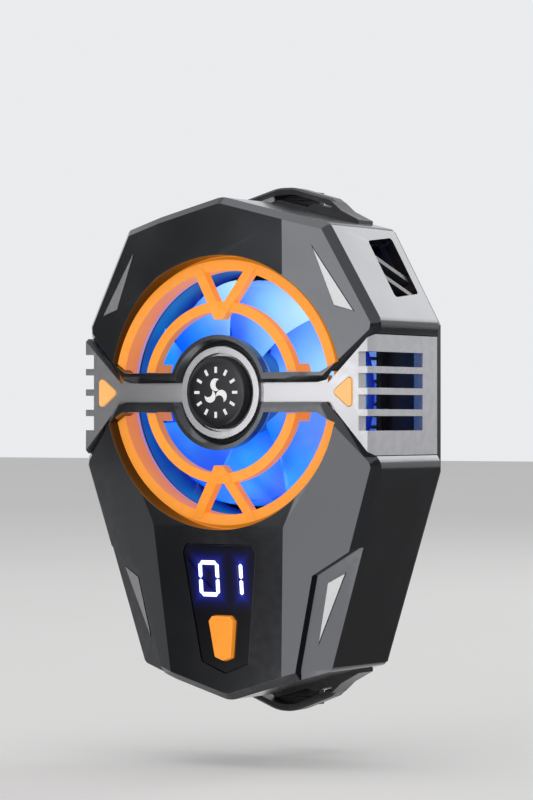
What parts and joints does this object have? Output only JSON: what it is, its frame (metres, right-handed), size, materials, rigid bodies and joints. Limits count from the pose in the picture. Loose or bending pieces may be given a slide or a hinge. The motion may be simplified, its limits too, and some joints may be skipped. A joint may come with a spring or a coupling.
{
  "type": "phone cooling fan",
  "caption": "Clip-on cooler for a phone: a lit fan behind a ring grille blows on a finned heat sink, a cold plate meets the phone, and sprung claws hold its edges.",
  "frame": {"origin": "point where the fan's axis meets the soft face that lies against the phone", "axes": "+Y out of that face, into the phone, so the fan faces -Y; +Z along the cooler, towards the upper claw, and +X to the right seen from the fan's side"},
  "size_m": [0.0522, 0.0346, 0.0808],
  "materials": {
    "gloss_black": "gloss",
    "black_plastic": "satin",
    "gunmetal": "satin metallic",
    "rear_black": "satin",
    "orange": "gloss",
    "amber_lens": "satin translucent",
    "silver_trim": "brushed",
    "window_black": "gloss",
    "digit_white": "lit",
    "light_guide": "frosted",
    "rotor_blue": "translucent",
    "duct_black": "satin",
    "emblem_white": "printed",
    "cap_black": "satin",
    "claw_black": "satin",
    "steel": "polished",
    "spring_steel": "drawn",
    "dark_steel": "black oxide",
    "silicone_grey": "matte",
    "silicone_black": "matte",
    "aluminium": "bare",
    "cold_aluminium": "anodised",
    "ceramic": "ceramic",
    "foam": "foam",
    "board_green": "solder mask",
    "chip_black": "moulded",
    "ferrite": "ferrite",
    "can_aluminium": "can",
    "copper": "enamelled wire",
    "bronze": "sintered",
    "magnet_grey": "ferrite",
    "led_white": "chip"
  },
  "bodies": {
    "case": {"board_capacitor": "can_aluminium", "board_chip": "chip_black", "board_choke": "ferrite", "board_screws": "spring_steel", "button_switch": "dark_steel", "case_screws": "dark_steel", "center_band": "gunmetal", "cold_plate": "cold_aluminium", "control_board": "board_green", "display_digits": "digit_white", "display_module": "chip_black", "display_window": "window_black", "fan_bearing": "bronze", "fan_board": "board_green", "fan_housing": "duct_black", "foam_frame": "foam", "grille": "orange", "heat_sink": "aluminium", "hub_cap": "cap_black", "hub_emblem": "emblem_white", "led_board": "board_green", "leds": "led_white", "light_ring": "light_guide", "lower_claw_guide": "claw_black", "lower_claw_springs": "spring_steel", "lower_front_cover": "gloss_black", "lower_trim_left": "silver_trim", "lower_trim_right": "silver_trim", "peltier_module": "ceramic", "power_inlet": "spring_steel", "rear_cover": "rear_black", "side_lens_left": "amber_lens", "side_lens_right": "amber_lens", "side_vent_left": "black_plastic", "side_vent_right": "black_plastic", "sink_screws": "spring_steel", "stator_coils": "copper", "stator_core": "spring_steel", "thermal_pad": "silicone_grey", "upper_claw_guide": "claw_black", "upper_claw_springs": "spring_steel", "upper_front_cover": "gloss_black", "upper_trim_left": "silver_trim", "upper_trim_right": "silver_trim"},
    "rotor": {"fan_rotor": "rotor_blue", "rotor_yoke": "dark_steel", "rotor_magnet": "magnet_grey", "fan_shaft": "steel"},
    "button": {"power_button": "orange", "switch_plunger": "chip_black"},
    "top_clamp": {"upper_claw": "claw_black", "upper_claw_rods": "steel", "upper_claw_pad": "silicone_black"},
    "bottom_clamp": {"lower_claw": "claw_black", "lower_claw_rods": "steel", "lower_claw_pad": "silicone_black"}
  },
  "joints": [
    {"name": "fan_spin", "type": "hinge", "parent": "case", "child": "rotor", "pos_m": [0, -0.0152, 0], "axis": [0, 1, 0], "continuous": true},
    {"name": "button_press", "type": "slide", "parent": "case", "child": "button", "axis": [0, 1, 0], "range_m": [0, 0.0005], "stiffness_N_per_m": 2500, "springref_m": -0.0001},
    {"name": "upper_claw_slide", "type": "slide", "parent": "case", "child": "top_clamp", "axis": [0, 0, 1], "range_m": [0, 0.007], "stiffness_N_per_m": 350, "springref_m": -0.004, "deforming": ["upper_claw_springs"]},
    {"name": "lower_claw_slide", "type": "slide", "parent": "case", "child": "bottom_clamp", "axis": [0, 0, -1], "range_m": [0, 0.007], "stiffness_N_per_m": 350, "springref_m": -0.004, "deforming": ["lower_claw_springs"]}
  ]
}
